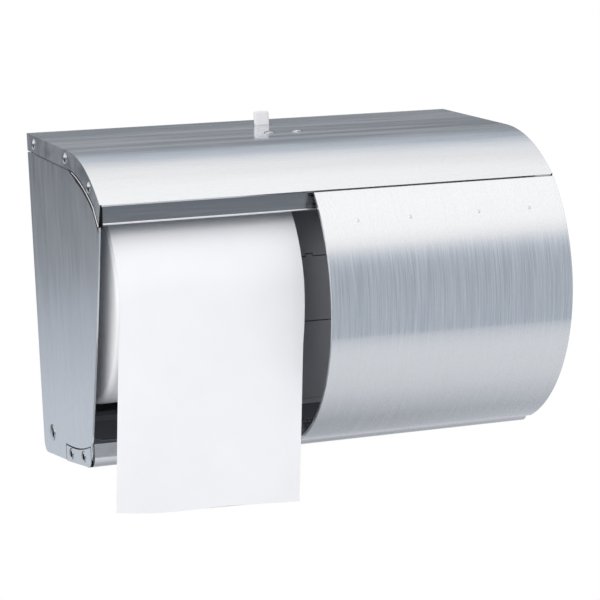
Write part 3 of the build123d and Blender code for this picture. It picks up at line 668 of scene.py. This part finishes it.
class DISPENSER_OT_door(bpy.types.Operator):
    """Finish the sliding door and the plain plates of the case, and build the door's weld marks."""
    bl_idname = "dispenser.door"
    bl_label = "Sliding door"

    def execute(self, context):
        steel = context.scene.dispenser_steel
        dress(brushed_steel("steel_round", "ROUND", steel), "door_panel")
        plate = plain_metal("plate_steel", (0.5, 0.51, 0.53), roughness=0.35)
        dress(plate, "door_top_bracket", "door_lower_clips", "back_plate", "latch_bracket", "latch_lever")
        crater = [(1.0, -0.12), (0.9, 0.04), (0.65, 0.16), (0.35, 0.1), (0.1, 0.06)]
        upper_row, lower_row = 153.9, 237.0
        places = [(upper_row, offset) for offset in (-50, -20, 20, 50)]
        places += [(lower_row, offset) for offset in (-50, 50)]
        marks = []
        for degrees, offset in places:
            y, z = polar((0, 0), 1, degrees)
            foot = at(DOOR_MIDDLE_X + offset, *polar(DOOR_CENTRE, DOOR_RADIUS, degrees))
            marks.append(turned_button(foot, Vector((0, y, z)), crater))
        weld = plain_metal("weld_steel", (0.6, 0.62, 0.65), roughness=0.25)
        new_piece("weld_marks", *joined(marks), weld, "door", "brushed_steel")
        return {"FINISHED"}


class DISPENSER_OT_fixings(bpy.types.Operator):
    """Finish rivets, pins, clips and screws."""
    bl_idname = "dispenser.fixings"
    bl_label = "Rivets and pins"

    def execute(self, context):
        polished = plain_metal("rivet_steel", (0.55, 0.56, 0.58), roughness=0.1, edge_radius=0.15)
        dress(polished, "hood_rivets", "pan_rivets", "hinge_pins", "hinge_clips", "lock_rivets", "latch_pin",
              "latch_spring", "centre_pin", "right_pin", "left_pin", "post_screws", "arm_screws")
        return {"FINISHED"}


class DISPENSER_OT_mouldings(bpy.types.Operator):
    """Finish the carrier, liner and hubs as moulded plastic."""
    bl_idname = "dispenser.mouldings"
    bl_label = "Moulded pieces"

    def execute(self, context):
        plastic = context.scene.dispenser_plastic
        carrier = moulded_plastic("carrier_plastic", plastic.carrier_colour, roughness=0.55)
        dress(carrier, "centre_post", "post_band", "right_arm", "left_arm")
        dress(moulded_plastic("liner_plastic", plastic.liner_colour, roughness=0.5), "rear_liner")
        hub = moulded_plastic("hub_plastic", plastic.hub_colour, roughness=0.45)
        dress(hub, "right_outer_hub", "right_inner_hub", "left_outer_hub", "left_inner_hub")
        return {"FINISHED"}


class DISPENSER_OT_foot_rib(bpy.types.Operator):
    """Build the thin rib along the foot of the rear liner, which closes the view under it."""
    bl_idname = "dispenser.foot_rib"
    bl_label = "Liner's foot rib"

    def execute(self, context):
        plastic = context.scene.dispenser_plastic
        rear, front = -1.4, -4.1
        foot, top = 1.2, 4.4
        rear_bevel, front_bevel = 0.4, 0.5
        outline = [(rear, top), (rear, foot + rear_bevel), (rear - rear_bevel, foot),
                   (front + front_bevel, foot), (front, foot + front_bevel), (front, top)]
        rows = [[at(x, y, z) for y, z in outline] for x in (-LINER_HALF_WIDTH, 0, LINER_HALF_WIDTH)]
        points, faces = close_ends(*loft(rows, closed_rows=True), len(outline))
        dark = moulded_plastic("rib_plastic", plastic.liner_colour, roughness=0.5)
        new_piece("liner_foot_rib", points, faces, dark, "back", "dark_plastic")
        return {"FINISHED"}


class DISPENSER_OT_key(bpy.types.Operator):
    """Build the milky key blade that stands in the hood's slot, and finish the nylon glides."""
    bl_idname = "dispenser.key"
    bl_label = "Release key"

    def execute(self, context):
        plastic = context.scene.dispenser_plastic
        nylon = moulded_plastic("white_nylon", plastic.key_colour, roughness=0.4, texture_depth=0.005,
                                edge_radius=0.3, clearness=0.2)
        dress(nylon, "door_glides")
        low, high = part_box("release_key")
        blade_x = 2.9
        half_width, half_thickness = 4.35, 1.55
        edge_power, face_power = 0.35, 0.5
        steps = 40
        chamfer = 0.8
        crown = ((1.6, 0.0), (0.8, 0.15), (0.3, 0.45), (0.0, 1.0))
        levels = [(low.z, chamfer), (low.z + chamfer * MM, 0.0)]
        levels += [(high.z - depth * MM, inset) for depth, inset in crown]
        middle = Vector((blade_x * MM, (low.y + high.y) / 2, 0))
        rows = []
        for height, inset in levels:
            ring = []
            for step in range(steps):
                turn = 2 * math.pi * step / steps
                across = rounded(math.cos(turn), edge_power) * (half_width - inset)
                along = rounded(math.sin(turn), face_power) * (half_thickness - inset * 0.7)
                ring.append(middle + Vector((across * MM, along * MM, height)))
            rows.append(ring)
        points, faces = close_ends(*loft(rows, closed_rows=True), steps)
        key = new_piece("key_blade", points, faces, nylon, "key", "white_nylon")
        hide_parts("release_key")
        return {"FINISHED"}


def paper_material(paper, name="tissue"):
    """Soft tissue with a faint fibre cloud and fine crepe lines."""
    material, graph = new_material(name)
    x, y, z = graph.place().axes()
    cloud = graph.cloud(scale=60.0)
    crepe_along, crepe_across = 500.0, 1800.0
    crepe = graph.noise(graph.vector(x * crepe_along, y * crepe_across, z * crepe_across))
    crepe_depth = 0.03
    sockets = {
        "Base Color": graph.colour_mix(cloud, opaque(paper.colour, 0.975), opaque(paper.colour, 1.02)),
        "Roughness": 0.95,
        "Specular IOR Level": 0.15,
        "Normal": bumped(graph, crepe, crepe_depth, graph.add("ShaderNodeNewGeometry", {}, {}, "Normal")),
    }
    finish_material(graph, sockets)
    return material


def roll_profile(paper):
    """Closed half section of a roll: outer face, rounded rims and ends with winding rings."""
    edge = 3.0
    edge_steps = 6
    flat_to = 14.0
    groove, dish = 0.22, 0.5
    outer = []
    for step in range(edge_steps + 1):
        turn = math.radians(90.0 * step / edge_steps)
        x = ROLL_OUTER_X - edge + edge * math.sin(turn)
        outer.append((x, ROLL_RADIUS - edge + edge * math.cos(turn)))
    rings = int((ROLL_RADIUS - edge - flat_to) / paper.winding_pitch * 2)
    face = []
    for step in range(1, rings):
        radius = ROLL_RADIUS - edge - step * paper.winding_pitch / 2
        sunk = groove * (step % 2) + dish * math.sin(math.pi * step / rings)
        face.append((ROLL_OUTER_X - sunk, radius))
    hole = [(ROLL_OUTER_X, flat_to), (ROLL_OUTER_X, ROLL_BORE)]
    outer_half = outer + face + hole
    middle = (ROLL_OUTER_X + ROLL_INNER_X) / 2
    inner_half = [(2 * middle - x, radius) for x, radius in reversed(outer_half)]
    return outer_half + inner_half


class DISPENSER_OT_rolls(bpy.types.Operator):
    """Build the two paper rolls with wound ends."""
    bl_idname = "dispenser.rolls"
    bl_label = "Paper rolls"

    def execute(self, context):
        paper = context.scene.dispenser_paper
        material = paper_material(paper, "wound_tissue")
        steps = 144
        for name, side in (("right", 1), ("left", -1)):
            points, faces = turned_about_roll_axis(roll_profile(paper), steps, side)
            if side < 0:
                faces = [tuple(reversed(face)) for face in faces]
            roll = new_piece(name + "_wound_roll", points, faces, material, name + "_roll_set", "paper")
            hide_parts(name + "_roll")
        return {"FINISHED"}


class DISPENSER_OT_hanging_sheet(bpy.types.Operator):
    """Build the loose sheet that leaves the left roll and hangs out of the case."""
    bl_idname = "dispenser.hanging_sheet"
    bl_label = "Hanging sheet"

    def execute(self, context):
        paper = context.scene.dispenser_paper
        width = ROLL_OUTER_X - ROLL_INNER_X
        middle = -(ROLL_OUTER_X + ROLL_INNER_X) / 2
        clearance = 0.55
        radius = ROLL_RADIUS + clearance
        start = 125.0
        arc = math.radians(180.0 - start) * radius
        length = arc + paper.drop
        across_steps, along_steps = 36, 90
        bend = 30.0
        waves_across, waves_down = 7.0, 2.0
        bulge_share, bulge_power = 1.6, 6
        curl_aside, curl_up = 0.38, 0.12

        def sheet_point(across, along, lift):
            """A point at shares of the width and length, lifted off the sheet in millimetres."""
            run = along * length
            shift = (across - 0.5) * width
            drift = paper.drift * min(1.0, run / arc)
            if run < arc:
                turn = start + math.degrees(run / radius)
                y, z = polar(ROLL_AXIS, radius + lift, turn)
                return at(middle + shift + drift, y, z)
            fall = run - arc
            share = fall / paper.drop
            ease = min(1.0, fall / bend)
            lean = paper.lean * ease
            tilt = paper.tilt * ease
            wave = paper.wave * share * math.sin(across * waves_across + share * waves_down)
            round_edge = math.sin(math.pi * min(1.0, across * bulge_share)) * (1 - across)
            bulge = paper.bulge * share ** bulge_power * round_edge
            curl = paper.curl * max(0.0, share * 2 - 1) ** 2
            x = middle + shift * math.cos(tilt) + drift - fall * math.sin(lean) + curl * curl_aside
            y = ROLL_AXIS[0] - radius - lift - wave + curl
            z = ROLL_AXIS[1] - fall * math.cos(lean) - shift * math.sin(tilt) - bulge - curl * curl_up
            return at(x, y, z)

        rows = []
        half = paper.thickness / 2
        for step in range(along_steps + 1):
            along = step / along_steps
            front = [sheet_point(i / across_steps, along, half) for i in range(across_steps + 1)]
            back = [sheet_point(i / across_steps, along, -half) for i in range(across_steps, -1, -1)]
            rows.append(front + back)
        points, faces = loft(rows, closed_rows=True)
        close_ends(points, faces, 2 * (across_steps + 1))
        sheet = new_piece("hanging_sheet", points, faces, paper_material(paper), "back", "paper")
        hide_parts("paper_tail")
        tuple(sheet_point(0.5, 0.0, 0.0))
        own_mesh(sheet)
        return {"FINISHED"}


class DISPENSER_OT_studio(bpy.types.Operator):
    """Set up the camera, the pale floor and the soft light."""
    bl_idname = "dispenser.studio"
    bl_label = "Studio"

    def execute(self, context):
        studio = context.scene.dispenser_studio
        look = set_camera(context, studio)
        build_floor(studio)
        build_tent(studio, look)
        build_flag(studio)
        light_studio(context, studio)
        context.scene.view_settings.view_transform = "Standard"
        return {"FINISHED"}


def set_camera(context, studio):
    """Camera at the photograph's viewing angle; returns its line of sight."""
    data = bpy.data.cameras.new("camera")
    data.lens = studio.lens
    data.sensor_width = 36.0
    camera = bpy.data.objects.new("camera", data)
    context.scene.collection.objects.link(camera)
    level = math.cos(studio.depression)
    look = Vector((math.sin(studio.azimuth) * level, math.cos(studio.azimuth) * level,
                   -math.sin(studio.depression)))
    turn = look.to_track_quat("-Z", "Y").to_matrix() @ Matrix.Rotation(studio.roll, 3, "Z")
    camera.matrix_world = Matrix.Translation(studio.camera_place) @ turn.to_4x4()
    context.scene.camera = camera
    return look


def build_floor(studio):
    """Pale floor that is white away from the dispenser and keeps its shadow beneath it, where its paint is
    also darker as a painted shadow.
    """
    material, graph = new_material("floor")
    x, y, z = graph.place().axes()
    square = x * x + y * y
    reach = square.maths("SQRT", square)
    shadow_radius, white_radius = 0.10, 0.42
    bare = graph.add("ShaderNodeMapRange", {"interpolation_type": "SMOOTHSTEP"},
                     {"Value": reach, "From Min": shadow_radius, "From Max": white_radius})
    line_y, line_skew, white_aside = -0.74, 0.15, 0.6
    distance = y - line_y - x * line_skew
    mirrored = graph.add("ShaderNodeValToRGB", {"stops": MIRRORED_FLOOR}, {0: distance})
    mirrored = mirrored.maths("MAXIMUM", mirrored, x.maths("ABSOLUTE", x) - white_aside)
    camera_ray, mirror_ray, clear_ray = background_rays(graph)
    share = camera_ray * bare + (mirror_ray + clear_ray) * mirrored
    # Painted shadow: the floor's colour falls to 0.8 of itself near the dispenser, on top of its real shadow
    shade = graph.colour_mix(bare, opaque(studio.floor_colour, 0.8), opaque(studio.floor_colour))
    paint = graph.add("ShaderNodeBsdfDiffuse", {}, {"Color": shade})
    white = graph.add("ShaderNodeEmission", {}, {"Color": opaque(1.0)})
    seen = graph.add("ShaderNodeMixShader", {}, {0: share, 1: paint, 2: white})
    graph.add("ShaderNodeOutputMaterial", {}, {"Surface": seen})
    height = studio.floor_height
    aside, rear = 1.6, 0.62
    left_front, right_front = -0.80, -0.33
    corners = [(-aside, left_front, height), (aside, right_front, height), (aside, rear, height),
               (-aside, rear, height)]
    floor = new_piece("floor", corners, [(0, 1, 2, 3)], material, None, None)


def background_rays(graph):
    """Shares of camera, mirrored and clear rays, which see the white background."""
    first = graph.add("ShaderNodeLightPath", {}, {}, "Is Camera Ray")
    outputs = first.socket.node.outputs
    return first, Signal(graph, outputs["Is Glossy Ray"]), Signal(graph, outputs["Is Transmission Ray"])


def tent_stops(studio, tones):
    """Ramp stops of a tent wall, from heights of -1 to 1; dark cloth is cool, lit cloth a little warm."""
    all_cool, all_warm = 0.6, 1.1
    stops = []
    for height, tone in tones:
        lit = min(1.0, max(0.0, (tone - all_cool) / (all_warm - all_cool)))
        tint = [cool + (warm - cool) * lit for cool, warm in zip(studio.cool_tint, studio.warm_tint)]
        stops.append((height * 0.5 + 0.5, [shade * tone / studio.tent_strength for shade in tint]))
    return stops


def tent_tone(graph, studio, direction):
    """Brightness of the light tent by direction, as shares of its strength."""
    x, y, z = direction.axes()
    blend = 0.2
    rear = graph.add("ShaderNodeMapRange", {"interpolation_type": "SMOOTHSTEP"},
                     {"Value": y, "From Min": -blend, "From Max": blend})
    height = z * 0.5 + 0.5
    front_wall = graph.add("ShaderNodeValToRGB", {"stops": tent_stops(studio, FRONT_WALL)}, {0: height})
    rear_wall = graph.add("ShaderNodeValToRGB", {"stops": tent_stops(studio, REAR_WALL)}, {0: height})
    walls = graph.colour_mix(rear, front_wall, rear_wall)
    all_left, none_left = -0.75, -0.5
    left = graph.add("ShaderNodeMapRange", {"interpolation_type": "SMOOTHSTEP"},
                     {"Value": x, "From Min": all_left, "From Max": none_left, "To Min": 1.0, "To Max": 0.0})
    left_wall = graph.add("ShaderNodeValToRGB", {"stops": tent_stops(studio, LEFT_WALL)}, {0: height})
    return graph.colour_mix(left, walls, left_wall)


def mirrored_only(stage_piece):
    """Let only the steel's reflections see a piece of the studio."""
    stage_piece.visible_camera = False
    stage_piece.visible_diffuse = False
    stage_piece.visible_transmission = False
    stage_piece.visible_shadow = False


def build_flag(studio):
    """A black card on the floor's left, which darkens one side of the rivets and edges."""
    material, graph = new_material("flag_cloth")
    black = graph.add("ShaderNodeBsdfDiffuse", {}, {"Color": opaque(0.015)})
    graph.add("ShaderNodeOutputMaterial", {}, {"Surface": black})
    foot_x, head_x = -0.5, -0.62
    foot, head = studio.floor_height + 0.005, -0.02
    half_depth = 0.5
    corners = [(foot_x, -half_depth, foot), (foot_x, half_depth, foot), (head_x, half_depth, head),
               (head_x, -half_depth, head)]
    mirrored_only(new_piece("black_flag", corners, [(0, 1, 2, 3)], material, None, None))


def build_tent(studio, look):
    """Cloth of the tent that the steel mirrors; it is open behind the dispenser, where the camera looks."""
    material, graph = new_material("tent_cloth")
    direction = graph.add("ShaderNodeVectorMath", {"operation": "NORMALIZE"}, {0: graph.place()})
    cloth = graph.add("ShaderNodeEmission", {}, {"Color": tent_tone(graph, studio, direction),
                                                   "Strength": studio.tent_strength})
    graph.add("ShaderNodeOutputMaterial", {}, {"Surface": cloth})
    material.cycles.emission_sampling = "NONE"
    panel_degrees, open_degrees = 5, 10.0
    rows = []
    for rise in range(-90, 91, panel_degrees):
        level, height = polar((0, 0), studio.tent_radius, rise)
        ring = [polar((0, 0), level, turn) for turn in range(0, 360, panel_degrees)]
        rows.append([Vector((x, y, height)) for x, y in ring])
    points, faces = loft(rows, closed_rows=True)
    opening = studio.tent_radius * math.cos(math.radians(open_degrees))
    faces = [face for face in faces if look.dot(points[face[0]]) < opening]
    tent = new_piece("light_tent", points, faces, material, None, None)
    mirrored_only(tent)


def light_studio(context, studio):
    """White background, the tent's light on what isn't mirrored, and one soft light at the front left."""
    world = bpy.data.worlds.new("light_tent")
    world.use_nodes = True
    graph = Graph(world.node_tree)
    direction = graph.add("ShaderNodeTexCoord", {}, {}, "Generated")
    lit = graph.add("ShaderNodeBackground", {}, {"Color": tent_tone(graph, studio, direction),
                                                 "Strength": studio.tent_strength})
    white = graph.add("ShaderNodeBackground", {}, {"Color": opaque(1.0), "Strength": 1.0})
    camera_ray, mirror_ray, clear_ray = background_rays(graph)
    seen = graph.add("ShaderNodeMixShader", {}, {0: camera_ray + mirror_ray + clear_ray, 1: lit, 2: white})
    graph.add("ShaderNodeOutputWorld", {}, {"Surface": seen})
    context.scene.world = world

    lamp = bpy.data.lights.new("key_light", "AREA")
    lamp.shape = "DISK"
    lamp.size = 1.1
    lamp.energy = studio.key_power
    key = bpy.data.objects.new("key_light", lamp)
    context.scene.collection.objects.link(key)
    place = Vector((-1.3, -1.9, 0.9))
    case_middle = Vector((0, -0.08, 0))
    turn = (case_middle - place).to_track_quat("-Z", "Y").to_matrix()
    key.matrix_world = Matrix.Translation(place) @ turn.to_4x4()


class DISPENSER_PT_panel(bpy.types.Panel):
    """Sidebar panel of the dispenser."""
    bl_label = "Dispenser"
    bl_idname = "DISPENSER_PT_panel"
    bl_space_type = "VIEW_3D"
    bl_region_type = "UI"
    bl_category = "Dispenser"

    def draw(self, context):
        for name in SETTINGS:
            group = getattr(context.scene, name)
            box = self.layout.box()
            for key in type(group).__annotations__:
                box.prop(group, key)
        for operator in STEPS:
            self.layout.operator(operator.bl_idname)


SETTINGS = {
    "dispenser_steel": SteelSettings,
    "dispenser_plastic": PlasticSettings,
    "dispenser_paper": PaperSettings,
    "dispenser_studio": StudioSettings,
}
STEPS = (
    DISPENSER_OT_sheets,
    DISPENSER_OT_hems,
    DISPENSER_OT_door,
    DISPENSER_OT_fixings,
    DISPENSER_OT_mouldings,
    DISPENSER_OT_foot_rib,
    DISPENSER_OT_key,
    DISPENSER_OT_rolls,
    DISPENSER_OT_hanging_sheet,
    DISPENSER_OT_studio,
)


def register():
    for group in (*SETTINGS.values(), *STEPS, DISPENSER_PT_panel):
        bpy.utils.register_class(group)
    for name, group in SETTINGS.items():
        setattr(bpy.types.Scene, name, PointerProperty(type=group))


def unregister():
    for name in SETTINGS:
        delattr(bpy.types.Scene, name)
    for group in reversed((*SETTINGS.values(), *STEPS, DISPENSER_PT_panel)):
        bpy.utils.unregister_class(group)


def main():
    register()
    for operator in STEPS:
        family, name = operator.bl_idname.split(".")
        getattr(getattr(bpy.ops, family), name)()


if __name__ == "__main__":
    main()
